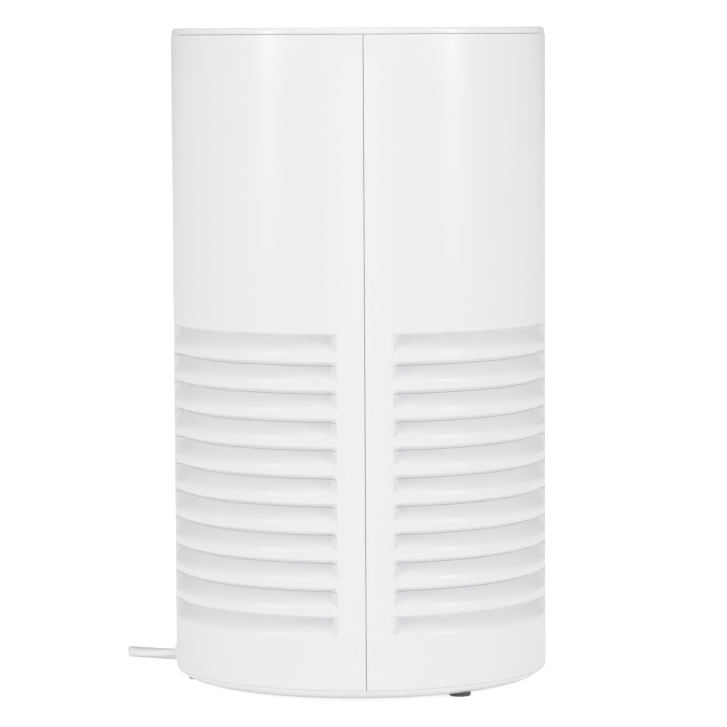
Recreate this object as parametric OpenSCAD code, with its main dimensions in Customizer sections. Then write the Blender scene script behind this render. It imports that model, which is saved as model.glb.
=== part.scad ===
// Cylindrical tower air purifier.
// Air enters the louvres round the lower half, crosses a pleated ring filter,
// is lifted by a centrifugal fan and leaves through the grille in the top.
// Front is -Y, the mains lead leaves at the back (+Y), and z = 0 is the floor.

/* [Body] */
// Outer diameter of the two half shells
body_d = 212; // [204:1:220]
// Height of the whole unit, from the floor to the top ring
total_h = 370.5; // [368:0.5:374]
// Wall of the half shells
wall = 2.4; // [2:0.1:2.8]
// Width of the gap lines between shells, top ring and base cover
seam_gap = 0.5; // [0.3:0.1:0.8]
// Thickness of the top ring
top_t = 3.3; // [3:0.1:4]
// Thickness of the base cover's rim
base_t = 6; // [5.8:0.1:6.2]
// Height of the rubber feet
foot_h = 1.2; // [1:0.1:1.4]

/* [Louvres] */
// Number of louvres, one above the other; the first and the last are closed
slots = 11; // [8:1:11]
// Height from one louvre to the next
slot_pitch = 15.54; // [14.5:0.02:15.6]
// Height of the topmost louvre lip above the floor
lip_z = 204.1; // [203:0.1:205]
// Depth of the louvres behind the outer surface
louvre_depth = 5.4; // [5:0.1:6]
// Half angle of the plain strip beside each shell seam
seam_strip = 8.3; // [7:0.1:10]
// Half angle of the plain strip at the front and back
centre_strip = 6; // [5:0.5:8]

/* [Filter and fan] */
// Outer radius of the filter cartridge
filter_r = 84; // [82:0.5:84]
// Number of pleats in the filter
pleats = 64; // [40:2:72]
// Number of impeller blades
blades = 11; // [7:1:13]
// Outer radius of the impeller
impeller_r = 80; // [74:1:82]

/* [Controls] */
// Radius of the control panel
panel_r = 47; // [45:0.5:47]
// Radius of the power key
power_key_r = 10; // [9:0.5:11]
// Radius of the three small keys
small_key_r = 7; // [6:0.5:7.5]
// Number of fins in the outlet grille
fins = 48; // [36:4:56]

/* [Mains lead] */
// Width of the flat twin lead
lead_w = 6.6; // [6:0.1:7]
// Radius of the ring that the spare length is wound into
coil_mean_r = 36; // [34:0.5:38]

/* [Hidden] */
$fn = 96;
eps = 0.01;
fit = 0.3;                                // clearance between separate parts

body_r = body_d / 2;
inner_r = body_r - wall;
base_z = foot_h;                          // underside of the base cover
shell_z = foot_h + base_t + seam_gap;     // lower edge of the shells
shell_top = total_h - top_t - seam_gap;   // upper edge of the shells

// Louvre section, measured down from each lip
under_h = 2.6;                            // bevel under a lip
slot_h = 1.0;                             // open slot
nose_h = 2.0;                             // upright face below the slot
slope_h = 4.7;                            // slope from the upright face out to the land
blade_t = 1.8;                            // wall of a blade
end_rib = 1.2;                            // angle of the rib that closes the blades' ends
louvre_r = body_r - louvre_depth;
louvre_in = louvre_r - blade_t;

// Decks, bottom to top
chassis_z = shell_z + 3;
chassis_t = 2.5;
chassis_in = 92;
filter_z = 9.5;
deck_z = lip_z + 4;
deck_t = 3;
gasket_t = 4;
filter_top = deck_z - gasket_t;
impeller_z = deck_z + deck_t + 6;
impeller_h = 48;
motor_z = impeller_z + impeller_h + 4;
motor_h = 26;
motor_r = 32;
plate_z = motor_z + motor_h;              // plate that carries the motor
pod_z = 318;
pod_top = total_h - 11;
board_z = pod_top - 6;
arm_h = 10;
top_boss_z = shell_top - 28;
arm_z = top_boss_z - fit - arm_h;
panel_z = total_h - 5.5;                  // underside of the control panel
panel_top = total_h - 1.5;
key_travel = 0.8;

// Places of the three small keys, on an arc at the front of the panel
small_key_ring = 30;
key_angles = [-130, -90, -50];            // timer, speed, sleep

// Mains lead: leaves the rear shell low down, drops to the floor and runs round to the +X side
lead_route = [
    [0, 106, 13.9], [1.9, 115.2, 13.5], [7.3, 123.4, 12.8], [15.5, 129.4, 11.8],
    [25.6, 132.6, 10.6], [36.4, 132.6, 9], [46.5, 129.4, 7.2], [54.7, 123.4, 5.5],
    [60.1, 115.2, 4.1], [62, 106, 3.4], [64, 98, 3.4], [69, 90.5, 3.4], [76, 83, 3.4],
    [83.5, 75, 3.4], [91, 66.5, 3.4], [98, 57.5, 3.4], [104.5, 48, 3.4], [110.5, 38, 3.4],
    [116, 28, 3.4], [120.8, 18.4, 3.4], [124.2, 9, 3.4], [125.2, 0, 3.4],
];
coil_c = [165, 0];                        // centre of the ring of turns
coil_band = 14;                           // width and height of the bundle of turns
tail_route = [
    [204.8, 0, 10.2], [205, 9, 9.4], [205.3, 18, 7.4], [205.5, 27, 5.6], [205.5, 36, 4.8],
];

// ---------- small helpers ----------
module ring(r_out, r_in, h) {
    difference() {
        cylinder(r = r_out, h = h);
        translate([0, 0, -1]) cylinder(r = r_in, h = h + 2);
    }
}

module spun(points, from, to) {
    rotate([0, 0, from]) rotate_extrude(angle = to - from) polygon(points);
}

module around(count, radius = 0, start = 0) {
    for (i = [0:count - 1])
        rotate([0, 0, start + i * 360 / count]) translate([radius, 0, 0]) children();
}

module screw(len, shank_r = 1.4, head_r = 3) {
    cylinder(r = shank_r, h = len + 0.5, $fn = 24);
    translate([0, 0, len + 0.05]) difference() {
        cylinder(r = head_r, h = 2, $fn = 32);
        for (a = [0, 90])
            rotate([0, 0, a]) translate([-1.8, -0.35, 1]) cube([3.6, 0.7, 2]);
    }
}

// ---------- shells ----------
function lip(i) = lip_z - i * slot_pitch;

sill_foot = lip(slots - 1) - under_h - slot_h - nose_h - slope_h;

// Wall of a half shell: plain above and below, and as deep as the louvres between
wall_section = [
    [inner_r, shell_z], [body_r, shell_z], [body_r, shell_top], [inner_r, shell_top],
    [inner_r, lip_z + 1.6], [louvre_in, lip_z - 1.4], [louvre_in, sill_foot - 1.6],
    [inner_r, sill_foot - 4.6],
];

// Space of one groove: bevel under the lip, slot if it is an open one, upright face and slope,
// run 1 mm past the wall
function groove_section(z, open) =
    let (ceiling = z - under_h, sill = ceiling - slot_h, slope = sill - nose_h,
         slot = [[louvre_in - 1, ceiling], [louvre_in - 1, sill], [louvre_r, sill]])
    concat([[body_r + 1, z + under_h / louvre_depth], [louvre_r, ceiling]], open ? slot : [],
        [[louvre_r, slope], [body_r + 1, slope - slope_h * (1 + 1 / louvre_depth)]]);

// Hollow behind the land between the slot at lip z and the next one down
function hollow_section(z) =
    let (slope = z - under_h - slot_h - nose_h, low = z - slot_pitch)
    [[louvre_in - 1, slope + 0.2], [inner_r, slope - slope_h - 0.4], [inner_r, low + 0.6],
     [louvre_in - 1, low - under_h + blade_t]];

module louvre_cuts(from, to) {
    for (i = [0:slots - 1]) spun(groove_section(lip(i), i > 0 && i < slots - 1), from, to);
    for (i = [0:slots - 2]) spun(hollow_section(lip(i)), from, to);
}

// Space behind a plain strip
module strip_cut(from, to) {
    out = inner_r - 0.15;
    spun([[louvre_in - 1, sill_foot - 8], [out, sill_foot - 8], [out, lip_z + 3],
          [louvre_in - 1, lip_z + 3]], from, to);
}

// Upright bar that ties the blades together behind the slots
module tie_bar(at)
    spun([[louvre_in - 2.2, sill_foot - 1], [louvre_in + 0.8, sill_foot - 1],
          [louvre_in + 0.8, lip_z - 1.8], [louvre_in - 2.2, lip_z - 1.8]], at - 0.6, at + 0.6);

// Blocks on the inner wall that take the screws of the base, the fan deck and the top
boss_angles = [30, 150];
boss_r = 99.2;
boss_h = 12;
boss_feet = [chassis_z + chassis_t + fit, deck_z + deck_t + fit, top_boss_z];
module shell_bosses()
    for (a = boss_angles, z = boss_feet)
        rotate([0, 0, a]) translate([0, 0, z]) difference() {
            translate([boss_r - 1.9, -3.5, 0]) cube([inner_r + 0.8 - boss_r + 1.9, 7, boss_h]);
            translate([boss_r, 0, -1]) cylinder(r = 1.4, h = boss_h + 2, $fn = 24);
        }

// One half of the housing, from its seam at angle 0 to its seam at angle 180
module half_shell() {
    gap = asin(seam_gap / 2 / body_r);
    near = 90 - centre_strip;
    far = 90 + centre_strip;
    difference() {
        spun(wall_section, gap, 180 - gap);
        louvre_cuts(seam_strip, near);
        louvre_cuts(far, 180 - seam_strip);
        strip_cut(-1, seam_strip - end_rib);
        strip_cut(near + end_rib, far - end_rib);
        strip_cut(180 - seam_strip + end_rib, 181);
    }
    for (from = [seam_strip, far], k = [1, 2]) tie_bar(from + (near - seam_strip) * k / 3);
    shell_bosses();
}

// Strip that closes a seam from inside, joined to the wall on one side of it only
module seam_tongue(from, to, join_from, join_to) {
    low = shell_z + 6;
    high = shell_top - 14;
    out = inner_r - 0.2;
    spun([[out - 1.5, low], [out, low], [out, high], [out - 1.5, high]], from, to);
    spun([[out - 1, low + 1], [out + 0.8, low + 1], [out + 0.8, high - 1], [out - 1, high - 1]],
        join_from, join_to);
}

module front_shell() color("white") {
    rotate([0, 0, 180]) half_shell();
    seam_tongue(-3, 2, -2.6, -1);
    seam_tongue(178, 183, 181, 182.6);
}

gland_z = 13.9;
gland_r = 4.6;
module rear_shell() color("white")
    difference() {
        half_shell();
        translate([0, body_r + 6, gland_z]) rotate([90, 0, 0]) cylinder(r = gland_r + 0.1, h = 14, $fn = 48);
        translate([-gland_r - 0.1, body_r - 8, shell_z - 1])
            cube([2 * gland_r + 0.2, 14, gland_z - shell_z + 1]);
    }

// ---------- top ----------
top_edge = 2.1;                           // rounding of the top ring
ring_in = 98;
skirt_z = total_h - top_t - 8;
ledge_z = total_h - 9;                    // ledge that the grille lies on
lug_t = 2.6;
top_lug_z = top_boss_z + boss_h + fit;
module top_ring() color("white") {
    r = body_r - 0.5;
    rotate_extrude() {
        difference() {
            translate([ring_in, total_h - top_t]) square([r - ring_in, top_t]);
            translate([r - top_edge, total_h - top_edge]) difference() {
                square([top_edge + 1, top_edge + 1]);
                circle(r = top_edge, $fn = 48);
            }
        }
        translate([ring_in, skirt_z]) square([2.2, 8 + eps]);
        translate([ring_in, total_h - top_t - 3]) square([inner_r - fit - ring_in, 3 + eps]);
        translate([ring_in - 2.6, ledge_z]) square([2.7, 2]);
    }
    for (s = [0, 180], a = boss_angles) rotate([0, 0, a + s]) {
        difference() {
            translate([95.5, -5, top_lug_z]) cube([7, 10, lug_t]);
            translate([boss_r, 0, top_lug_z - 1]) cylinder(r = 1.6, h = lug_t + 2, $fn = 24);
        }
        for (side = [-5, 3.5])
            translate([ring_in, side, top_lug_z + 1]) cube([2.2, 1.5, skirt_z - top_lug_z]);
    }
}

grille_top = total_h - 1.8;
grille_h = grille_top - ledge_z - 2;
module outlet_grille() color("whitesmoke") {
    translate([0, 0, grille_top - grille_h]) {
        ring(ring_in - fit, ring_in - 2.6, grille_h);
        ring(panel_r + 3, panel_r + 0.4, grille_h);
        translate([0, 0, 0.6]) ring(74.6, 73, grille_h - 1.2);
        around(fins, 0, 360 / fins / 2)
            translate([panel_r + 2, -0.8, 0]) cube([ring_in - 2 - panel_r - 2, 1.6, grille_h - 0.4]);
    }
}

module key_hole(r) translate([0, 0, panel_z - 1]) cylinder(r = r + 0.3, h = 8);

module at_key(i) rotate([0, 0, key_angles[i]]) translate([small_key_ring, 0, 0]) children();

lens_ring = 32;                           // radius of the arc of status lights
lens_angles = [60, 75, 90, 105, 120];
module at_lens(a) rotate([0, 0, a]) translate([lens_ring, 0, 0]) children();

module control_panel() color("white")
    difference() {
        union() {
            translate([0, 0, panel_z]) cylinder(r = panel_r, h = panel_top - panel_z);
            translate([0, 0, pod_top + 1.1]) ring(panel_r - 4, panel_r - 5.6, panel_z - pod_top - 1.1 + eps);
        }
        key_hole(power_key_r);
        for (i = [0:2]) at_key(i) key_hole(small_key_r);
        for (a = lens_angles) at_lens(a) key_hole(0.9);
    }

// A key with a stem down to its switch and a collar that keeps it under the panel
module key(r) {
    top = panel_top + 0.5;
    foot = board_z + 3.8 + key_travel + fit;
    collar = panel_z - 2.4;
    rotate_extrude() polygon([[0, foot], [2, foot], [2, collar], [r + 1, collar],
        [r + 1, collar + 1.4], [r, collar + 1.4], [r, top - 0.5], [r - 0.5, top], [0, top]]);
}

module power_key() color("white") key(power_key_r);
module timer_key() color("white") at_key(0) key(small_key_r);
module speed_key() color("white") at_key(1) key(small_key_r);
module sleep_key() color("white") at_key(2) key(small_key_r);

module status_lenses() color("lightskyblue")
    for (a = lens_angles) at_lens(a)
        translate([0, 0, board_z + 3.2]) cylinder(r = 0.9, h = panel_top - board_z - 3.2 + 0.1, $fn = 24);

module control_board() color("darkgreen")
    translate([0, 0, board_z]) difference() {
        cylinder(r = 40, h = 1.6);
        around(3, 36, 30) translate([0, 0, -1]) cylinder(r = 1.6, h = 4, $fn = 24);
    }

module tact_switch() {
    translate([-3, -3, 1.6]) cube([6, 6, 2]);
    translate([0, 0, 3.6 - eps]) cylinder(r = 1.6, h = 0.2, $fn = 24);
}

module tact_switches() color("dimgray")
    translate([0, 0, board_z]) {
        tact_switch();
        for (i = [0:2]) at_key(i) tact_switch();
        for (a = lens_angles) at_lens(a) translate([-1, -1, 1.6]) cube([2, 2, 1.5]);
    }

module electronics_pod() color("white") {
    r = 44;
    difference() {
        translate([0, 0, pod_z]) cylinder(r1 = r - 4, r2 = r, h = pod_top - pod_z);
        translate([0, 0, pod_z + 2]) cylinder(r1 = r - 6, r2 = r - 2, h = pod_top - pod_z);
        translate([0, 30, pod_z - 1]) cylinder(r = 4, h = 5, $fn = 32);
    }
    // Posts that carry the board, and arms to the diffuser wall
    around(3, 36, 30) translate([0, 0, pod_z + 1]) difference() {
        cylinder(r = 3.4, h = board_z - pod_z - 1 - 0.05, $fn = 32);
        translate([0, 0, 10]) cylinder(r = 1.2, h = 40, $fn = 24);
    }
    for (a = [30, 150, 210, 330])
        rotate([0, 0, a]) translate([r - 3.5, -1.5, arm_z]) cube([95.7 - r + 3.5, 3, arm_h]);
    difference() {
        translate([0, 0, arm_z]) ring(97.4, 95.4, arm_h);
        for (s = [0, 180], a = boss_angles) rotate([0, 0, a + s])
            translate([boss_r, 0, arm_z - 1]) cylinder(r = 3 + fit, h = arm_h - lug_t + 1, $fn = 32);
    }
    for (s = [0, 180], a = boss_angles) rotate([0, 0, a + s])
        difference() {
            translate([96.4, -3.5, arm_z + arm_h - lug_t]) cube([5.6, 7, lug_t]);
            translate([boss_r, 0, arm_z]) cylinder(r = 1.6, h = arm_h + 1, $fn = 24);
        }
}

module pod_lid() color("white")
    translate([0, 0, pod_top + 0.05]) difference() {
        cylinder(r = 43, h = 1);
        translate([0, 0, -1]) cylinder(r = 36, h = 3);
    }

module power_board() color("darkgreen")
    translate([-27, -22, pod_z + 2]) cube([54, 44, 1.6]);

module power_parts() color("goldenrod")
    translate([0, 0, pod_z + 3.6]) {
        translate([-22, -18, 0]) cube([20, 18, 15]);
        translate([12, -10, 0]) cylinder(r = 7, h = 20, $fn = 48);
        translate([4, 8, 0]) cube([18, 10, 10]);
        translate([-18, 8, 0]) cube([14, 8, 8]);
    }

// ---------- fan ----------
wall_r = 97.2;                            // outer wall of the air path, inside the shell bosses
module diffuser() color("white") {
    translate([0, 0, deck_z + deck_t]) ring(wall_r, wall_r - 2, plate_z + 8 - deck_z - deck_t);
    translate([0, 0, plate_z]) difference() {
        cylinder(r = motor_r + 8, h = 3);
        around(4, 24, 45) translate([0, 0, -1]) cylinder(r = 1.6, h = 5, $fn = 24);
        translate([0, 0, -1]) cylinder(r = 9, h = 5);
    }
    translate([0, 0, motor_z - 2]) ring(motor_r + 8, motor_r + 5.8, plate_z - motor_z + 2 + eps);
    around(9, 0, 10)
        translate([motor_r + 7, -1, motor_z - 2]) cube([wall_r - 1 - motor_r - 7, 2, motor_h + 8]);
}

module motor_case() color("silver")
    difference() {
        translate([0, 0, motor_z]) cylinder(r = motor_r, h = motor_h);
        translate([0, 0, motor_z + 6]) cylinder(r = motor_r - 3, h = motor_h - 9);
        translate([0, 0, motor_z - 1]) cylinder(r = 8.02, h = motor_h + 2);
        around(4, 24, 45) translate([0, 0, plate_z - 4]) cylinder(r = 1.45, h = 8, $fn = 24);
    }

bearing_w = 5;
module motor_bearings() color("gainsboro")
    for (z = [motor_z, plate_z - bearing_w])
        translate([0, 0, z]) ring(8, 3.05, bearing_w);

module motor_shaft() color("gray")
    translate([0, 0, impeller_z + 22]) cylinder(r = 3, h = plate_z + 3 - impeller_z - 22);

module motor_stator() color("peru")
    translate([0, 0, motor_z + 7]) difference() {
        cylinder(r = motor_r - 3, h = 12);
        translate([0, 0, -1]) cylinder(r = 26.8, h = 14);
    }

module motor_rotor() color("dimgray")
    translate([0, 0, motor_z + 7]) difference() {
        cylinder(r = 26, h = 12);
        translate([0, 0, -1]) cylinder(r = 3, h = 14);
        around(12, 17) translate([0, 0, -1]) cylinder(r = 2, h = 14, $fn = 24);
    }

// Backward-curved blade: an arc of constant thickness between two radii
blade_in = 52;
function arc_point(t, w) =
    let (r = blade_in + (impeller_r - 1 - blade_in) * t, a = -34 * t)
    [r * cos(a) - w * sin(a - 50), r * sin(a) + w * cos(a - 50)];
module fan_blade(h) {
    steps = 8;
    linear_extrude(h) polygon(concat(
        [for (i = [0:steps]) arc_point(i / steps, 0.8)],
        [for (i = [steps:-1:0]) arc_point(i / steps, -0.8)]));
}

module fan_impeller() color("whitesmoke") {
    back_z = impeller_z + impeller_h - 3;
    hub_r = 12;
    translate([0, 0, impeller_z]) ring(impeller_r, blade_in + 1, 2);
    difference() {
        union() {
            translate([0, 0, back_z]) cylinder(r = impeller_r, h = 2.4);
            translate([0, 0, impeller_z + 26])
                cylinder(r1 = hub_r, r2 = hub_r + 10, h = back_z - impeller_z - 26 + eps);
        }
        translate([0, 0, impeller_z]) cylinder(r = 3, h = impeller_h + 2);
    }
    translate([0, 0, impeller_z + 1]) around(blades) fan_blade(back_z - impeller_z);
}

module shaft_nut() color("silver")
    translate([0, 0, impeller_z + 22.2]) difference() {
        cylinder(r = 5.5, h = 3.8, $fn = 6);
        translate([0, 0, -1]) cylinder(r = 3, h = 6);
    }

inlet_r = 50;
module fan_deck() color("white")
    translate([0, 0, deck_z]) difference() {
        cylinder(r = inner_r - 2, h = deck_t);
        translate([0, 0, -1]) cylinder(r = inlet_r + 4, h = deck_t + 2);
        for (s = [0, 180], a = boss_angles) rotate([0, 0, a + s])
            translate([99.2, 0, -1]) cylinder(r = 1.6, h = deck_t + 2, $fn = 24);
        translate([0, 100, -1]) cylinder(r = 3.4, h = deck_t + 2, $fn = 32);
    }

// Bellmouth: a flange on the deck, a rounded mouth and a throat that enters the impeller
module inlet_ring() color("whitesmoke") {
    flange_z = deck_z + deck_t;
    mouth = 3.4;
    throat = inlet_r - 1.6;
    rotate_extrude() polygon(concat(
        [for (a = [0:15:90]) [throat + mouth - mouth * cos(a), deck_z + mouth - mouth * sin(a)]],
        [[inlet_r + 3.6, deck_z], [inlet_r + 3.6, flange_z], [inlet_r + 10, flange_z],
         [inlet_r + 10, flange_z + 1.8], [inlet_r, flange_z + 3.6],
         [inlet_r, impeller_z + 6], [throat, impeller_z + 6]]));
}

// Four screws whose heads bear on the face at z, driven up (way = 1) or down (way = -1)
module screw_set(z, way)
    for (s = [0, 180], a = boss_angles) rotate([0, 0, a + s])
        translate([boss_r, 0, z]) mirror([0, 0, way > 0 ? 1 : 0]) translate([0, 0, -8]) screw(8);

module deck_screws() color("silver") screw_set(deck_z, 1);
module pod_screws() color("silver") screw_set(arm_z + arm_h - lug_t, 1);
module top_screws() color("silver") screw_set(top_lug_z + lug_t, -1);

module motor_screws() color("silver")
    around(4, 24, 45) translate([0, 0, plate_z + 3 - 6]) screw(6);

// ---------- filter ----------
core_r = 50;
media_in = 55;
module filter_gasket() color("dimgray")
    translate([0, 0, filter_top]) ring(80, 60, gasket_t);

module filter_top_ring() color("gainsboro")
    translate([0, 0, filter_top - 5]) ring(filter_r, core_r, 5);

module filter_bottom_cap() color("gainsboro") {
    translate([0, 0, filter_z]) ring(filter_r, core_r - 2, 5);
    translate([0, 0, filter_z + 5 - eps]) ring(core_r, core_r - 2, 12);
    translate([0, 0, filter_z + 17 - 2 * eps]) cylinder(r = core_r, h = 2);
}

media_z = filter_z + 5;
media_h = filter_top - 5 - media_z;
function pleat_point(i, w) =
    let (a = i * 180 / pleats, tip = filter_r - 2 - w, root = media_in + 1 - w)
    (i % 2 == 0 ? tip : root) * [cos(a), sin(a)];
module filter_media() color("white")
    translate([0, 0, media_z]) linear_extrude(media_h) difference() {
        polygon([for (i = [0:2 * pleats - 1]) pleat_point(i, 0)]);
        polygon([for (i = [0:2 * pleats - 1]) pleat_point(i, 2.2)]);
    }

module carbon_sleeve() color("black")
    translate([0, 0, media_z]) ring(core_r + 2.6, core_r + 0.2, media_h);

module prefilter_mesh() color("lightgray")
    translate([0, 0, media_z]) ring(filter_r - 0.2, filter_r - 1.2, media_h);

module filter_strap() color("steelblue")
    translate([-7, 51, filter_z - 0.7]) cube([14, 30, 0.7]);

// ---------- base ----------
ledge_arc = 30;
lug_arc = 22;
ledge_r = chassis_in - 2.6;
collar_h = 11;
module base_chassis() color("white") {
    difference() {
        translate([0, 0, chassis_z]) {
            ring(inner_r - fit, chassis_in, chassis_t);
            ring(chassis_in + 2, chassis_in, collar_h);
        }
        for (s = [0, 180], a = boss_angles) rotate([0, 0, a + s])
            translate([boss_r, 0, chassis_z - 1]) cylinder(r = 1.6, h = 12, $fn = 24);
        translate([-8, chassis_in - 4, chassis_z - 1]) cube([16, 18, collar_h + 2]);
    }
    // Bayonet ledges, each with a stop at one end
    for (i = [0:2]) rotate([0, 0, i * 120 - ledge_arc / 2]) {
        rotate_extrude(angle = ledge_arc)
            translate([ledge_r, chassis_z + 2]) square([2.8, 2]);
        rotate_extrude(angle = 2.5)
            translate([ledge_r, chassis_z + 3]) square([2.8, 6]);
    }
}

module chassis_screws() color("silver") screw_set(chassis_z, 1);

module cover_switch() color("dimgray")
    rotate([0, 0, 62]) translate([96.2, -5, chassis_z + chassis_t]) cube([5.4, 10, 6]);

spigot_out = 89;
spigot_h = 12;
grip_r = 30;
grip_depth = 3.4;
grip_bar = 9;
cover_in = 22;                            // how far the cover's rim curves in to its underside
cover_band = 0.4;                         // upright band of the rim
cover_floor = 2.6;                        // thickness of the cover inside its rim
foot_r = 6;
foot_ring = 93;
foot_angle = 94.6;
foot_pocket = 3;
module base_cover() color("white") {
    r = body_r - 0.1;
    top = base_z + base_t;
    curve_h = base_t - cover_band;
    difference() {
        union() {
            rotate_extrude() polygon(concat(
                [[spigot_out - 4, base_z + cover_floor], [grip_r + 5, base_z + cover_floor],
                 [grip_r + 5, top], [0, top], [0, base_z]],
                [for (a = [90:-10:0]) [r - cover_in * (1 - cos(a)), top - cover_band - curve_h * sin(a)]],
                [[r, top], [spigot_out - 4, top]]));
            translate([0, 0, top - eps]) ring(spigot_out, spigot_out - 2.2, spigot_h);
            translate([0, 0, top - eps]) cylinder(r = grip_r + 3, h = 1.4);
            for (a = [0, 120, 240])
                rotate([0, 0, a]) translate([60, -1, base_z + cover_floor - eps])
                    cube([24, 2, filter_z - base_z - cover_floor - fit]);
        }
        // Grip recess under the cover, with a bar left across it
        difference() {
            translate([0, 0, base_z - 1]) cylinder(r = grip_r, h = 1 + grip_depth);
            translate([-grip_r - 1, -grip_bar / 2, base_z]) cube([2 * grip_r + 2, grip_bar, 8]);
        }
        around(3, foot_ring, foot_angle)
            translate([0, 0, base_z - 1]) cylinder(r = foot_r + 0.1, h = 1 + foot_pocket, $fn = 48);
    }
    // Lugs that pass over the chassis ledges
    for (i = [0:2]) rotate([0, 0, i * 120 - lug_arc / 2 + 1.5])
        rotate_extrude(angle = lug_arc)
            translate([spigot_out - 0.5, chassis_z + 4.4]) square([2.7, 2]);
}

module rubber_feet() color("dimgray")
    around(3, foot_ring, foot_angle) rotate_extrude($fn = 48)
        polygon([[0, 0], [foot_r - 0.8, 0], [foot_r, 0.8], [foot_r, base_z + foot_pocket],
                 [0, base_z + foot_pocket]]);

// ---------- mains lead ----------
// Sweep of an eight-sided section along a list of points; the points stay off the direction ref
function along(p, i) =
    let (a = p[max(i - 1, 0)], b = p[min(i + 1, len(p) - 1)]) (b - a) / norm(b - a);
function section_ring(p, i, r, ref) =
    let (t = along(p, i), side = cross(t, ref), s = side / norm(side), u = cross(s, t))
    [for (k = [0:7]) p[i] + r * (cos(k * 45 + 22.5) * s + sin(k * 45 + 22.5) * u)];

// Catmull-Rom curve through the points
function smooth_route(p, steps) = [
    for (i = [0:len(p) - 2], k = [0:steps - 1])
        let (t = k / steps, a = p[max(i - 1, 0)], b = p[i], c = p[i + 1], d = p[min(i + 2, len(p) - 1)])
        0.5 * (2 * b + (c - a) * t + (2 * a - 5 * b + 4 * c - d) * t * t
            + (3 * b - 3 * c + d - a) * t * t * t),
    p[len(p) - 1]];

module swept(p, r, ref) {
    n = len(p);
    rings = [for (i = [0:n - 1]) each section_ring(p, i, r, ref)];
    sides = [for (i = [0:n - 2], k = [0:7])
        [i * 8 + k, i * 8 + (k + 1) % 8, (i + 1) * 8 + (k + 1) % 8, (i + 1) * 8 + k]];
    polyhedron(rings, concat(sides, [[for (k = [7:-1:0]) k]], [[for (k = [0:7]) (n - 1) * 8 + k]]));
}

lead_r = 2.4;
strip_y = 99.8;
inner_route = [
    [0, 98, gland_z], [0, 96.4, 15], [0, 95.8, 20], [0, 97.4, 30], [0, strip_y, 42],
    [0, strip_y, 70], [0, strip_y, 180], [0, strip_y, 290], [0, 98, 303], [0, 92, 309],
    [0, 80, 310.5], [0, 50, 310.5], [0, 38, 311], [0, 31, 314], [0, 30, 319], [0, 30, 324],
];
module internal_lead() color("gainsboro") swept(smooth_route(inner_route, 2), lead_r, [1, 0, 0]);

module lead_clips() color("white")
    for (z = [66, 130, 240])
        translate([0, strip_y, z]) difference() {
            union() {
                cylinder(r = 3.6, h = 4, $fn = 32);
                translate([-2, 2.6, 0]) cube([4, inner_r - strip_y - 2.5, 4]);
            }
            translate([0, 0, -1]) cylinder(r = lead_r + 0.05, h = 6, $fn = 32);
            translate([-5, -6, -1]) cube([10, 4.5, 6]);
        }

module cord_gland() color("gainsboro")
    translate([0, 0, gland_z]) rotate([-90, 0, 0]) {
        translate([0, 0, 98]) cylinder(r = gland_r, h = body_r + 0.6 - 98, $fn = 48);
        translate([0, 0, 100.6]) cylinder(r = gland_r + 1.8, h = 2.4, $fn = 48);
    }

module cord_lead() color("white") swept(smooth_route(lead_route, 2), lead_w / 2, [0, 0, 1]);

module cord_coil() color("white")
    translate([coil_c[0], coil_c[1], 0]) rotate_extrude()
        translate([coil_mean_r - coil_band / 2, 0]) square([coil_band, coil_band]);

module cord_tail() color("white") swept(smooth_route(tail_route, 2), lead_w / 2, [0, 0, 1]);

// Strap round the bundle, at its far side
tie_w = 8;
module cord_tie() color("dimgray")
    translate([coil_c[0], coil_c[1] + coil_mean_r, 0])
        difference() {
            translate([-tie_w / 2, -coil_band / 2 - 1, 0]) cube([tie_w, coil_band + 2, coil_band + 1]);
            translate([-tie_w, -coil_band / 2, -1]) cube([2 * tie_w, coil_band, coil_band + 1]);
        }

// Plug, lying flat with its blades pointing along +Y
plug_x = tail_route[len(tail_route) - 1][0];
plug_back = tail_route[len(tail_route) - 1][1] - 1;
plug_w = 24;
plug_h = 14;
plug_len = 32;
blade_len = 17;
module plug_body() color("white") {
    translate([plug_x - plug_w / 2, plug_back + 8, 0]) cube([plug_w, plug_len - 8, plug_h]);
    translate([plug_x - 8, plug_back, 0]) cube([16, 9, 11]);
}

module plug_blades() color("silver")
    for (side = [-1, 1])
        translate([plug_x + side * 6.35 - 0.75, plug_back + plug_len, plug_h / 2 - 3.2])
            cube([1.5, blade_len, 6.4]);

front_shell();
rear_shell();
top_ring();
outlet_grille();
control_panel();
power_key();
speed_key();
timer_key();
sleep_key();
status_lenses();
control_board();
tact_switches();
electronics_pod();
pod_lid();
power_board();
power_parts();
diffuser();
motor_case();
motor_bearings();
motor_shaft();
motor_stator();
motor_rotor();
fan_impeller();
shaft_nut();
fan_deck();
inlet_ring();
deck_screws();
motor_screws();
pod_screws();
top_screws();
filter_gasket();
filter_top_ring();
filter_bottom_cap();
filter_media();
carbon_sleeve();
prefilter_mesh();
filter_strap();
base_chassis();
chassis_screws();
cover_switch();
base_cover();
rubber_feet();
internal_lead();
lead_clips();
cord_gland();
cord_lead();
cord_coil();
cord_tail();
cord_tie();
plug_body();
plug_blades();
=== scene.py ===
"""Looks of a cylindrical tower air purifier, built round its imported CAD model.

The housing is two half shells with ring louvres, a top ring with an outlet grille and keys, and a
base cover on rubber feet. A flat twin lead leaves at the back. Lengths are in metres, +Z is up, the
front is -Y, and the shells meet at -X and +X.
"""

from __future__ import annotations

import bisect
import logging
import math
from collections.abc import Iterable, Sequence
from dataclasses import dataclass, field
from enum import Enum

import bmesh
import bpy
from mathutils import Matrix, Vector


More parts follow.
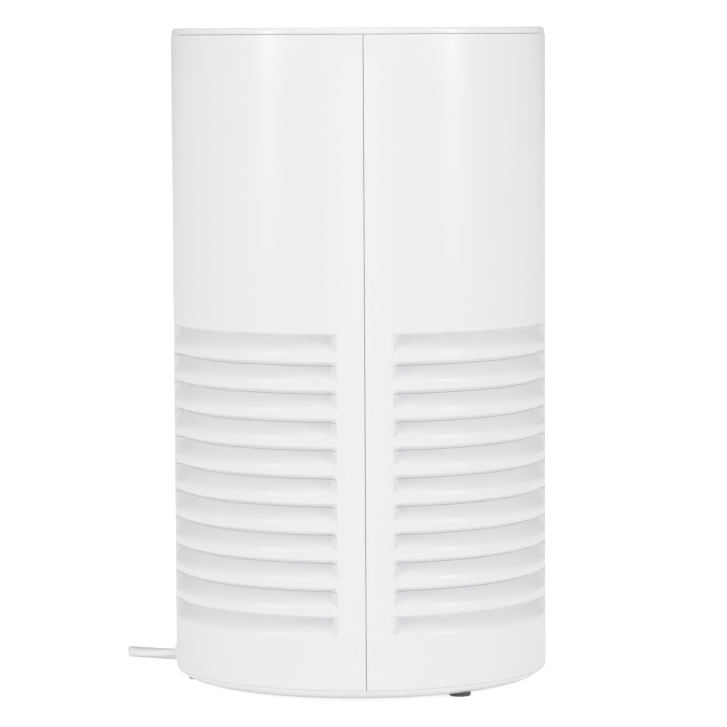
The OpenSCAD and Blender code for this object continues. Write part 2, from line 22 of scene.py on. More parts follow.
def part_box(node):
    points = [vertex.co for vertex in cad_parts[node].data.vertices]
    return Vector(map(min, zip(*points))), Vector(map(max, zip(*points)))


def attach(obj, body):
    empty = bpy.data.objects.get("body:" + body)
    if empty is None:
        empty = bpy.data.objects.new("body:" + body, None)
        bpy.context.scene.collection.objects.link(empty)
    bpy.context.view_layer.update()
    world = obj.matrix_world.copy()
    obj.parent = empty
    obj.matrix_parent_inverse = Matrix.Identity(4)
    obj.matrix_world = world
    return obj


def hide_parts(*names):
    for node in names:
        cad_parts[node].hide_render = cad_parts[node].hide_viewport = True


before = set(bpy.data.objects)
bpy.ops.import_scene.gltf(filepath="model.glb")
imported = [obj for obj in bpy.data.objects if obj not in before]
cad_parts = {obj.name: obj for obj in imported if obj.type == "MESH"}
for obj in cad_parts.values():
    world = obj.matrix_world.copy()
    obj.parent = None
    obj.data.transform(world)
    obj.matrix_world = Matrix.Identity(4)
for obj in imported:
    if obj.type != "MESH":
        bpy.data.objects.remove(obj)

LOG = logging.getLogger("air_purifier")
MM = 0.001
ORIGIN = Vector((0.0, 0.0, 0.0))
UP = Vector((0.0, 0.0, 1.0))
WHITE = (1.0, 1.0, 1.0, 1.0)

Point2 = tuple[float, float]
Point3 = tuple[float, float, float]
Colour = tuple[float, float, float]
Tree = bpy.types.NodeTree
Socket = bpy.types.NodeSocket
Piece = bpy.types.Object
Shape = bmesh.types.BMesh
Corner = bmesh.types.BMVert


# Outlines

def mm(*values: float) -> tuple[float, ...]:
    """Returns lengths given in millimetres as metres."""
    return tuple(v * MM for v in values)


def moved(*offset: float) -> Matrix:
    """Returns a move by an offset."""
    return Matrix.Translation(offset)


def turn_z(degrees: float) -> Matrix:
    """Returns a turn about the Z axis by an angle in degrees."""
    return Matrix.Rotation(math.radians(degrees), 4, "Z")


def turned(point: Sequence[float], degrees: float) -> Vector:
    """Returns a point turned about the Z axis by an angle in degrees."""
    return turn_z(degrees) @ Vector(point)


def eased(share: float) -> float:
    """Returns a share held between 0 and 1, with a soft start and end."""
    share = max(0.0, min(1.0, share))
    return share * share * (3 - 2 * share)


def rounded_path(corners: Sequence[tuple[float, float, float]], steps: int = 5) -> list[Point2]:
    """Rounds the corners of an open path.

    Args:
        corners: (x, y, radius) for each corner; the two ends keep radius 0.
        steps: Segments in each rounded corner.

    Returns:
        The path's points, with an arc in place of each corner that has a radius.
    """
    path: list[Point2] = []
    last = len(corners) - 1
    for index, (x, y, radius) in enumerate(corners):
        here = Vector((x, y))
        if radius <= 0.0 or index in (0, last):
            path.append((x, y))
            continue
        before = (Vector(corners[index - 1][:2]) - here).normalized()
        after = (Vector(corners[index + 1][:2]) - here).normalized()
        half = before.angle(after) / 2.0
        reach = radius / math.tan(half)
        centre = here + (before + after).normalized() * (radius / math.sin(half))
        start = here + before * reach - centre
        end = here + after * reach - centre
        sweep = start.angle_signed(end)
        for step in range(steps + 1):
            spoke = start.copy()
            spoke.rotate(Matrix.Rotation(-sweep * step / steps, 2))
            path.append(tuple(centre + spoke))
    return path


def smooth_route(points: Sequence[Point3], steps: int) -> list[Vector]:
    """Returns points along the Catmull-Rom curve through a route's points.

    Args:
        points: The route's own points.
        steps: Points made for each stretch between two of them.

    Returns:
        The finer list of points, the last one included.
    """
    route: list[Vector] = []
    for index in range(len(points) - 1):
        a = Vector(points[max(index - 1, 0)])
        b = Vector(points[index])
        c = Vector(points[index + 1])
        d = Vector(points[min(index + 2, len(points) - 1)])
        for step in range(steps):
            t = step / steps
            route.append(0.5 * (
                2 * b + (c - a) * t + (2 * a - 5 * b + 4 * c - d) * t**2 + (3 * b - 3 * c + d - a) * t**3
            ))
    route.append(Vector(points[-1]))
    return route


# Mesh helpers

def placed(name: str, data: bpy.types.ID) -> Piece:
    """Makes an object from its data and links it to the scene."""
    made = bpy.data.objects.new(name, data)
    bpy.context.scene.collection.objects.link(made)
    return made


def verts_of(geom: Iterable[object]) -> list[Corner]:
    """Returns the vertices among an operator's geometry."""
    return [part for part in geom if isinstance(part, Corner)]


def finished(name: str, bm: Shape, sharp_degrees: float = 35.0) -> Piece:
    """Turns a bmesh into an object that is smooth except at its sharp edges.

    Args:
        name: The piece's name.
        bm: The shape, which is freed.
        sharp_degrees: Edges that turn by more than this stay sharp.

    Returns:
        The new object, at the origin.
    """
    mesh = bpy.data.meshes.new(name)
    bm.to_mesh(mesh)
    bm.free()
    mesh.shade_smooth()
    mesh.set_sharp_from_angle(angle=math.radians(sharp_degrees))
    return placed(name, mesh)


def chain(bm: Shape, points: Iterable[Sequence[float]], closed: bool = False) -> list:
    """Adds a chain of vertices and edges to a bmesh.

    Args:
        bm: The bmesh.
        points: The vertices' places.
        closed: Whether an edge joins the last vertex to the first.

    Returns:
        The new vertices and edges, as geometry for an operator.
    """
    verts = [bm.verts.new(p) for p in points]
    pairs = list(zip(verts, verts[1:]))
    if closed:
        pairs.append((verts[-1], verts[0]))
    return verts + [bm.edges.new(pair) for pair in pairs]


def face_out(bm: Shape) -> None:
    """Turns all faces of a closed shape outwards."""
    bmesh.ops.recalc_face_normals(bm, faces=bm.faces)


def swung(bm: Shape, geom: list, degrees: float, steps: int) -> list:
    """Spins geometry about the Z axis and returns the geometry at the far end."""
    result = bmesh.ops.spin(
        bm, geom=geom, cent=ORIGIN, axis=UP, dvec=(0, 0, 0), angle=math.radians(degrees), steps=steps
    )
    return result["geom_last"]


def add_swept(bm: Shape, loop: Sequence[Point3], start: float, sweep: float, steps: int) -> None:
    """Adds a closed loop's sweep about the Z axis, with both ends capped.

    Args:
        bm: The bmesh.
        loop: The section's corners, in the XZ plane.
        start: Angle of its first place, in degrees.
        sweep: Angle of the sweep, in degrees.
        steps: Segments in the sweep.
    """
    first = chain(bm, [turned(p, start) for p in loop], closed=True)
    last = swung(bm, first, sweep, steps)
    for ring in (first, last):
        bm.faces.new(verts_of(ring))


def lathed(
    name: str, outline: Sequence[Point2], steps: int, closed: bool = False, at: Sequence[float] = (0, 0, 0)
) -> Piece:
    """Makes a piece by a full spin of an outline.

    Args:
        name: The piece's name.
        outline: (radius, height) points, in metres.
        steps: Segments round the piece.
        closed: Whether the outline closes on itself, as a ring's section does.
        at: Where the spin's axis stands.

    Returns:
        The finished piece.
    """
    bm = bmesh.new()
    geom = chain(bm, [(r, 0.0, z) for r, z in outline], closed)
    bmesh.ops.spin(
        bm, geom=geom, cent=ORIGIN, axis=UP, dvec=(0, 0, 0), angle=math.tau, steps=steps, use_merge=True
    )
    bmesh.ops.remove_doubles(bm, verts=bm.verts, dist=1e-6)
    face_out(bm)
    bmesh.ops.translate(bm, verts=bm.verts, vec=at)
    return finished(name, bm)


def add_block(bm: Shape, size: Sequence[float], place: Matrix, bevel: float, segments: int = 2) -> None:
    """Adds a block with rounded edges to a bmesh.

    Args:
        bm: The bmesh.
        size: Its full size on each axis.
        place: Where it goes.
        bevel: Width of the rounding.
        segments: Segments in the rounding.
    """
    made = bmesh.ops.create_cube(bm, size=1.0, matrix=place @ Matrix.Diagonal((*size, 1.0)))
    edges = list({edge for vert in made["verts"] for edge in vert.link_edges})
    bmesh.ops.bevel(bm, geom=edges, offset=bevel, affect="EDGES", segments=segments, profile=0.5, material=-1)


def joined(name: str, parts: Sequence[Piece]) -> Piece:
    """Joins several new objects' meshes into one piece and deletes the originals."""
    bm = bmesh.new()
    for part in parts:
        bm.from_mesh(part.data)
        bpy.data.objects.remove(part)
    return finished(name, bm)


# Finishes

class Weave(Enum):
    """How threads cross in a cloth."""

    NONE = "none"
    MESH = "mesh"
    CLOTH = "cloth"


@dataclass(frozen=True)
class Finish:
    """One finish: its constants, and how it varies over the surface.

    Attributes:
        name: The material's name.
        colour: Main colour, linear.
        shade: Colour of the darker patches, or of the gaps in a cloth.
        roughness: Middle roughness.
        spread: How far the roughness wanders.
        grain: Size of the fine grain or of the threads.
        depth: Height of the grain.
        patch: Size of the large patches.
        metallic: 1 for metal.
        coat: Weight of a clear coat.
        sheen: Weight of cloth sheen.
        weave: Kind of cloth.
        stretch: How far the grain is drawn out along Z.
        transmission: Weight of light let through.
        subsurface: Weight of light scattered inside.
    """

    name: str
    colour: Colour
    shade: Colour
    roughness: float
    spread: float = 0.05
    grain: float = 0.35 * MM
    depth: float = 0.01 * MM
    patch: float = 40 * MM
    metallic: float = 0.0
    coat: float = 0.0
    sheen: float = 0.0
    weave: Weave = Weave.NONE
    stretch: float = 1.0
    transmission: float = 0.0
    subsurface: float = 0.0


SHELL = Finish("shell_white", (0.8, 0.799, 0.816), (0.79, 0.789, 0.808), 0.3, 0.03)
RIM = Finish("rim_white", (0.81, 0.81, 0.822), (0.79, 0.79, 0.805), 0.3, 0.04, coat=0.2)
GRILLE = Finish("grille_white", (0.77, 0.77, 0.785), (0.75, 0.75, 0.77), 0.42, 0.05, depth=0.015 * MM)
PANEL = Finish("panel_white", (0.8, 0.8, 0.82), (0.79, 0.79, 0.81), 0.22, 0.03, coat=0.5)
KEY = Finish("key_white", (0.83, 0.83, 0.84), (0.8, 0.8, 0.82), 0.3, 0.04, coat=0.3)
SYMBOL = Finish("symbol_grey", (0.16, 0.17, 0.19), (0.13, 0.14, 0.16), 0.5, 0.05)
LENS = Finish("lens_ice", (0.62, 0.78, 0.9), (0.55, 0.72, 0.86), 0.18, 0.03, transmission=0.35)
INNER = Finish("inner_plastic", (0.74, 0.74, 0.74), (0.68, 0.68, 0.68), 0.55, 0.08, depth=0.03 * MM)
IMPELLER = Finish("impeller_plastic", (0.72, 0.73, 0.72), (0.66, 0.67, 0.66), 0.45, 0.08)
DARK = Finish("dark_plastic", (0.03, 0.03, 0.033), (0.022, 0.022, 0.024), 0.5, 0.08)
BOARD = Finish("board_green", (0.02, 0.1, 0.045), (0.014, 0.075, 0.035), 0.35, 0.1, grain=1.6 * MM)
PART_BODY = Finish("component_amber", (0.3, 0.17, 0.04), (0.22, 0.12, 0.03), 0.4, 0.1, patch=9 * MM)
CASTING = Finish(
    "motor_casting", (0.5, 0.5, 0.52), (0.4, 0.4, 0.42), 0.45, 0.1, metallic=1.0, depth=0.04 * MM
)
STEEL = Finish("ground_steel", (0.55, 0.55, 0.56), (0.45, 0.45, 0.46), 0.28, 0.08, metallic=1.0, stretch=12.0)
COPPER = Finish("winding_copper", (0.6, 0.24, 0.1), (0.42, 0.15, 0.06), 0.35, 0.1, metallic=1.0, stretch=0.1)
MAGNET = Finish("magnet_grey", (0.045, 0.045, 0.05), (0.03, 0.03, 0.034), 0.55, 0.1, depth=0.04 * MM)
FOAM = Finish("foam_grey", (0.06, 0.06, 0.065), (0.035, 0.035, 0.04), 0.9, 0.05, 0.9 * MM, 0.25 * MM)
FRAME = Finish("filter_frame", (0.66, 0.66, 0.67), (0.6, 0.6, 0.61), 0.6, 0.08, depth=0.03 * MM)
PAPER = Finish("filter_paper", (0.8, 0.8, 0.77), (0.7, 0.7, 0.67), 0.9, 0.05, 0.6 * MM, 0.06 * MM)
CARBON = Finish(
    "carbon_cloth", (0.012, 0.012, 0.013), (0.006, 0.006, 0.006), 0.85, 0.08, 1.4 * MM, 0.3 * MM,
    weave=Weave.CLOTH,
)
MESH = Finish(
    "mesh_cloth", (0.8, 0.8, 0.8), (0.52, 0.52, 0.53), 0.8, 0.05, 1.5 * MM, 0.25 * MM,
    sheen=0.2, weave=Weave.MESH,
)
STRAP = Finish(
    "strap_cloth", (0.07, 0.17, 0.33), (0.04, 0.1, 0.21), 0.85, 0.05, 0.8 * MM, 0.12 * MM,
    sheen=0.3, weave=Weave.CLOTH,
)
RUBBER = Finish("foot_rubber", (0.13, 0.13, 0.135), (0.1, 0.1, 0.105), 0.75, 0.08, 0.5 * MM, 0.04 * MM)
LEAD = Finish(
    "lead_white", (0.86, 0.86, 0.86), (0.82, 0.82, 0.82), 0.42, 0.06, depth=0.012 * MM, subsurface=0.05
)
TIE = Finish("tie_grey", (0.075, 0.075, 0.08), (0.05, 0.05, 0.055), 0.55, 0.08)
BLADE = Finish("blade_nickel", (0.62, 0.59, 0.52), (0.5, 0.47, 0.41), 0.22, 0.1, metallic=1.0, stretch=0.1)

NODE_FINISHES: dict[Finish, tuple[str, ...]] = {
    PANEL: ("control_panel",),
    LENS: ("status_lenses",),
    BOARD: ("control_board", "power_board"),
    DARK: ("tact_switches", "cover_switch"),
    INNER: (
        "electronics_pod", "pod_lid", "diffuser", "fan_deck", "inlet_ring", "base_chassis",
        "lead_clips",
    ),
    PART_BODY: ("power_parts",),
    CASTING: ("motor_case",),
    STEEL: (
        "motor_bearings", "motor_shaft", "shaft_nut", "deck_screws", "motor_screws", "pod_screws",
        "top_screws", "chassis_screws",
    ),
    COPPER: ("motor_stator",),
    MAGNET: ("motor_rotor",),
    IMPELLER: ("fan_impeller",),
    FOAM: ("filter_gasket",),
    FRAME: ("filter_top_ring", "filter_bottom_cap"),
    PAPER: ("filter_media",),
    CARBON: ("carbon_sleeve",),
    MESH: ("prefilter_mesh",),
    STRAP: ("filter_strap",),
    LEAD: ("internal_lead", "cord_gland"),
    BLADE: ("plug_blades",),
}


def fill(node: bpy.types.Node, values: dict[str, object]) -> None:
    """Sets a node's inputs to values, by the inputs' names."""
    for name, value in values.items():
        node.inputs[name].default_value = value


def added(tree: Tree, kind: str, values: dict[str, object] | None = None) -> bpy.types.Node:
    """Adds a shader node of a kind to a tree, with values for its inputs."""
    node = tree.nodes.new(f"ShaderNode{kind}")
    fill(node, values or {})
    return node


def wire(tree: Tree, *pairs: tuple[Socket, Socket]) -> None:
    """Links sockets of a node tree, given as (output, input) pairs."""
    for source, target in pairs:
        tree.links.new(source, target)


class FinishShop:
    """Builds each finish's material once, from shared node groups."""

    def __init__(self) -> None:
        """Makes the shared groups."""
        self._made: dict[str, bpy.types.Material] = {}
        self._grain = self._grain_group()
        self._cloth = self._cloth_group()

    @staticmethod
    def _group(name: str, inputs: dict[str, str], outputs: dict[str, str]) -> Tree:
        """Starts a shader group with named sockets, given as name and kind."""
        tree = bpy.data.node_groups.new(name, "ShaderNodeTree")
        for in_out, sockets in (("INPUT", inputs), ("OUTPUT", outputs)):
            for label, kind in sockets.items():
                tree.interface.new_socket(name=label, in_out=in_out, socket_type=f"NodeSocket{kind}")
        tree.nodes.new("NodeGroupInput").name = "in"
        tree.nodes.new("NodeGroupOutput").name = "out"
        return tree

    @staticmethod
    def _math(tree: Tree, operation: str, first: object, second: object) -> Socket:
        """Adds a Math node; each operand is a socket or a number. Returns its output."""
        node = added(tree, "Math")
        node.operation = operation
        for index, operand in enumerate((first, second)):
            if isinstance(operand, Socket):
                tree.links.new(operand, node.inputs[index])
            else:
                node.inputs[index].default_value = operand
        return node.outputs[0]

    @staticmethod
    def _noise(tree: Tree, source: bpy.types.Node, scale: str, detail: float) -> Socket:
        """Adds a Noise Texture whose scale is a named input of the group. Returns its value."""
        node = added(tree, "TexNoise", {"Detail": detail})
        wire(tree, (source.outputs["Vector"], node.inputs["Vector"]))
        wire(tree, (source.outputs[scale], node.inputs["Scale"]))
        return node.outputs["Fac"]

    @staticmethod
    def _blend(tree: Tree, factor: Socket, first: Socket, second: Socket) -> None:
        """Mixes two colours by a factor into the group's Colour."""
        mix = added(tree, "Mix")
        mix.data_type = "RGBA"
        wire(
            tree, (factor, mix.inputs["Factor"]), (first, mix.inputs["A"]), (second, mix.inputs["B"]),
            (mix.outputs["Result"], tree.nodes["out"].inputs["Colour"]),
        )

    def _grain_group(self) -> Tree:
        """Makes the group for moulded, ground and cast surfaces: fine grain over large patches."""
        tree = self._group(
            "surface_grain",
            {"Vector": "Vector", "Grain scale": "Float", "Patch scale": "Float", "Colour": "Color",
             "Shade": "Color", "Roughness": "Float", "Spread": "Float"},
            {"Colour": "Color", "Roughness": "Float", "Height": "Float"},
        )
        source, sink = tree.nodes["in"], tree.nodes["out"]
        fine = self._noise(tree, source, "Grain scale", 2.0)
        patch = self._noise(tree, source, "Patch scale", 3.0)
        self._blend(tree, patch, source.outputs["Colour"], source.outputs["Shade"])
        both = self._math(tree, "ADD", fine, patch)
        centred = self._math(tree, "SUBTRACT", both, 1.0)
        wander = self._math(tree, "MULTIPLY", centred, source.outputs["Spread"])
        rough = self._math(tree, "ADD", source.outputs["Roughness"], wander)
        wire(tree, (rough, sink.inputs["Roughness"]), (fine, sink.inputs["Height"]))
        return tree

    def _cloth_group(self) -> Tree:
        """Makes the group for cloth: two sets of threads that cross."""
        tree = self._group(
            "crossed_threads",
            {"Vector": "Vector", "Thread scale": "Float", "Colour": "Color", "Gap": "Color"},
            {"Colour": "Color", "Height": "Float"},
        )
        source, sink = tree.nodes["in"], tree.nodes["out"]
        threads = []
        for direction in ("X", "Z"):
            wave = added(tree, "TexWave", {"Distortion": 0.4})
            wave.wave_type = "BANDS"
            wave.bands_direction = direction
            wire(
                tree, (source.outputs["Vector"], wave.inputs["Vector"]),
                (source.outputs["Thread scale"], wave.inputs["Scale"]),
            )
            threads.append(wave.outputs["Fac"])
        height = self._math(tree, "MAXIMUM", *threads)
        self._blend(tree, height, source.outputs["Gap"], source.outputs["Colour"])
        wire(tree, (height, sink.inputs["Height"]))
        return tree

    def material(self, finish: Finish) -> bpy.types.Material:
        """Returns the material of a finish, made on first use."""
        if finish.name in self._made:
            return self._made[finish.name]
        made = bpy.data.materials.new(finish.name)
        made.use_nodes = True
        tree = made.node_tree
        shader = tree.nodes["Principled BSDF"]
        fill(shader, {
            "Metallic": finish.metallic, "Coat Weight": finish.coat, "Coat Roughness": 0.12,
            "Sheen Weight": finish.sheen, "Transmission Weight": finish.transmission,
            "Subsurface Weight": finish.subsurface, "Subsurface Radius": mm(1.0, 1.0, 1.0),
            "Roughness": finish.roughness,
        })
        place = added(tree, "TexCoord")
        mapping = added(tree, "Mapping", {"Scale": (1.0, 1.0, 1.0 / finish.stretch)})
        group = added(tree, "Group")
        group.node_tree = self._grain if finish.weave is Weave.NONE else self._cloth
        fill(group, {"Colour": (*finish.colour, 1.0)})
        if finish.weave is Weave.NONE:
            fill(group, {
                "Grain scale": 1.0 / finish.grain, "Patch scale": 1.0 / finish.patch,
                "Shade": (*finish.shade, 1.0), "Roughness": finish.roughness, "Spread": finish.spread,
            })
            wire(tree, (group.outputs["Roughness"], shader.inputs["Roughness"]))
        else:
            fill(group, {"Thread scale": 0.3 / finish.grain, "Gap": (*finish.shade, 1.0)})
        bump = added(tree, "Bump", {"Strength": 1.0, "Distance": finish.depth})
        wire(
            tree,
            (place.outputs["Object"], mapping.inputs["Vector"]),
            (mapping.outputs["Vector"], group.inputs["Vector"]),
            (group.outputs["Colour"], shader.inputs["Base Color"]),
            (group.outputs["Height"], bump.inputs["Height"]),
            (bump.outputs["Normal"], shader.inputs["Normal"]),
        )
        self._made[finish.name] = made
        return made


@dataclass
class Workshop:
    """What every sub-assembly needs: the finishes, and a way to hand a piece over."""

    finishes: FinishShop = field(default_factory=FinishShop)

    def hand_over(
        self, piece: Piece, finish: Finish, body: str, slot: str, stands_for: Sequence[str] = ()
    ) -> Piece:
        """Dresses a new piece and tells the frame what it is.

        Args:
            piece: The new piece.
            finish: Its finish.
            body: The CAD body that it rides on.
            slot: Not used.
            stands_for: CAD nodes that it replaces.

        Returns:
            The same piece.
        """
        piece.data.materials.clear()
        piece.data.materials.append(self.finishes.material(finish))
        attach(piece, body)
        if stands_for:
            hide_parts(*stands_for)
        LOG.info("%s rides on %s", piece.name, body)
        return piece

    def dress_nodes(self, finishes: dict[Finish, tuple[str, ...]]) -> None:
        """Gives CAD nodes their materials."""
        for finish, names in finishes.items():
            for name in names:
                for material_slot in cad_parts[name].material_slots:
                    material_slot.material = self.finishes.material(finish)
                LOG.info("node %s is %s", name, finish.name)


# Housing

@dataclass
class LouvredShell:
    """One half of the housing: a wall with two groups of ring louvres.

    Angles are in degrees from the shell's own seam plane, so the half spans 0 to 180.

    Attributes:
        shop: Where finishes come from.
        node: The CAD node that it stands for.
        turn: Angle by which the half is turned about Z.
        tongue: Whether this half carries the strips behind the seams.
    """

    shop: Workshop
    node: str
    turn: float
    tongue: bool
    lip_top: float = 204.1 * MM
    pitch: float = 15.54 * MM
    grooves: int = 11
    depth: float = 5.4 * MM
    bevel_height: float = 2.4 * MM
    slot_height: float = 0.12 * MM
    nose_height: float = 0.9 * MM
    slope_height: float = 7.2 * MM
    shoulder: float = 4.5 * MM
    seam_strip: float = 8.3
    centre_strip: float = 6.0
    ramp: float = 1.17
    steep_ramp: float = 6.0
    seam_gap: float = 0.26 * MM
    edge_round: float = 0.3 * MM
    rim_round: float = 0.12 * MM
    wall: float = 2.0 * MM
    land_start: float = 0.9 * MM
    tongue_back: float = 2.6 * MM
    tongue_wall: float = 1.5 * MM
    tongue_reach: float = 2.5

    def __post_init__(self) -> None:
        """Reads the shell's height and radius from the frame."""
        low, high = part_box(self.node)
        self.low, self.high = low[2], high[2]
        self.radius = max(abs(low[1]), abs(high[1]))

    def section(self) -> list[Point2]:
        """Returns one groove's outline as (height from the lip, depth), from the top down."""
        ceiling = -self.bevel_height
        sill = ceiling - self.slot_height
        nose_foot = sill - self.nose_height
        foot = nose_foot - self.slope_height
        return [(z, d) for d, z in rounded_path([
            (0.0, self.land_start, 0.0), (0.0, 0.0, 0.5 * MM), (self.depth, ceiling, 0.0),
            (self.depth, sill, 0.0), (self.depth, nose_foot, self.nose_height),
            (0.0, foot, self.shoulder), (0.0, self.land_start - self.pitch + 0.2 * MM, 0.0),
        ], steps=6)]

    def rows(self) -> list[Point2]:
        """Returns (height, depth) for every row of the wall, from the bottom up."""
        rows = [(self.high - self.rim_round * k, 0.0) for k in (0.0, 0.3, 1.0)]
        span = self.high - self.lip_top
        rows += [(self.high - span * k / 6, 0.0) for k in range(1, 6)]
        section = self.section()
        for groove in range(self.grooves):
            lip = self.lip_top - groove * self.pitch
            rows += [(lip + z, d) for z, d in section]
        rows += [(self.low + self.rim_round * k, 0.0) for k in (20.0, 1.0, 0.3, 0.0)]
        return sorted(rows)

    def stations(self) -> list[tuple[float, int]]:
        """Returns (angle, columns) for each stretch of the wall, from one seam to the other."""
        seam = math.degrees(self.seam_gap / 2.0 / self.radius)
        rim = seam + math.degrees(self.edge_round / self.radius)
        ramp_end = self.seam_strip + math.degrees(self.depth / self.ramp / self.radius) + 0.4
        far = 90.0 - self.centre_strip
        far_start = far - math.degrees(self.depth / self.steep_ramp / self.radius) - 0.15
        first = [(seam, 0), (rim, 3), (self.seam_strip, 4), (ramp_end, 14), (far_start, 38), (far, 5)]
        back = [(180.0 - angle, 0) for angle, _ in reversed(first)]
        columns = [6] + [count for _, count in reversed(first[1:])]
        return first + [(angle, count) for (angle, _), count in zip(back, columns, strict=True)]

    def allowed_depth(self, angle: float) -> float:
        """Returns how deep a groove may be at an angle, which the end walls limit."""
        angle = min(angle, 180.0 - angle)
        arc = math.radians(1.0) * self.radius
        near = (angle - self.seam_strip) * arc * self.ramp
        far = (90.0 - self.centre_strip - angle) * arc * self.steep_ramp
        return max(0.0, min(near, far))

    @staticmethod
    def edge_inset(distance: float, radius: float) -> float:
        """Returns how far a free edge rounded to a radius stands back at a distance from the edge."""
        if distance >= radius:
            return 0.0
        lack = radius - distance
        return radius - math.sqrt(max(radius**2 - lack**2, 0.0))

    def is_slot(self, angle: float, height: float) -> bool:
        """Tells whether a place on the wall lies in an open slot."""
        if self.allowed_depth(angle) <= 0.05 * MM:
            return False
        offset = self.lip_top - height
        groove = math.floor(offset / self.pitch)
        below = offset - groove * self.pitch
        inside = self.bevel_height < below < self.bevel_height + self.slot_height
        return inside and 0 < groove < self.grooves - 1

    def skin(self) -> Shape:
        """Spins the outer skin and presses the grooves into it."""
        bm = bmesh.new()
        rows = self.rows()
        heights = [z for z, _ in rows]
        stations = self.stations()
        start = [turned((self.radius, 0.0, z), stations[0][0]) for z, _ in rows]
        geom = chain(bm, start)
        for (before, _), (after, columns) in zip(stations, stations[1:]):
            geom = swung(bm, geom, after - before, columns)
        face_out(bm)
        slots = []
        for face in bm.faces:
            middle = face.calc_center_median()
            if self.is_slot(math.degrees(math.atan2(middle.y, middle.x)), middle.z):
                slots.append(face)
        bmesh.ops.delete(bm, geom=slots, context="FACES")
        seam = stations[0][0]
        for vert in bm.verts:
            angle = math.degrees(math.atan2(vert.co.y, vert.co.x))
            row = rows[bisect.bisect_left(heights, vert.co.z - 2e-6)]
            depth = min(row[1], self.allowed_depth(angle))
            to_seam = math.radians(min(angle, 180.0 - angle) - seam) * self.radius
            to_end = min(vert.co.z - self.low, self.high - vert.co.z)
            depth += self.edge_inset(max(to_seam, 0.0), self.edge_round)
            depth += self.edge_inset(max(to_end, 0.0), self.rim_round)
            scale = (self.radius - depth) / self.radius
            vert.co.x *= scale
            vert.co.y *= scale
        return bm

    def thickened(self, bm: Shape) -> Shape:
        """Gives the skin its wall thickness."""
        thin = finished("skin", bm)
        wall = thin.modifiers.new("wall", "SOLIDIFY")
        wall.thickness = self.wall
        wall.offset = -1.0
        shaped = bmesh.new()
        shaped.from_object(thin, bpy.context.evaluated_depsgraph_get())
        bpy.data.objects.remove(thin)
        return shaped

    def add_tongues(self, bm: Shape) -> None:
        """Adds the strips that close both seams from inside."""
        outer = self.radius - self.tongue_back
        inner = outer - self.tongue_wall
        low, high = self.low + 6 * MM, self.high - 14 * MM
        loop = [(outer, 0, low), (outer, 0, high), (inner, 0, high), (inner, 0, low)]
        for middle in (0.0, 180.0):
            add_swept(bm, loop, middle - self.tongue_reach, 2 * self.tongue_reach, 4)

    def build(self) -> None:
        """Makes the half shell and hands it over."""
        bm = self.thickened(self.skin())
        if self.tongue:
            self.add_tongues(bm)
        bmesh.ops.rotate(bm, verts=bm.verts, cent=ORIGIN, matrix=turn_z(self.turn))
        piece = finished(f"{self.node}_skin", bm, 32.0)
        self.shop.hand_over(piece, SHELL, "housing", "white_plastic", [self.node])


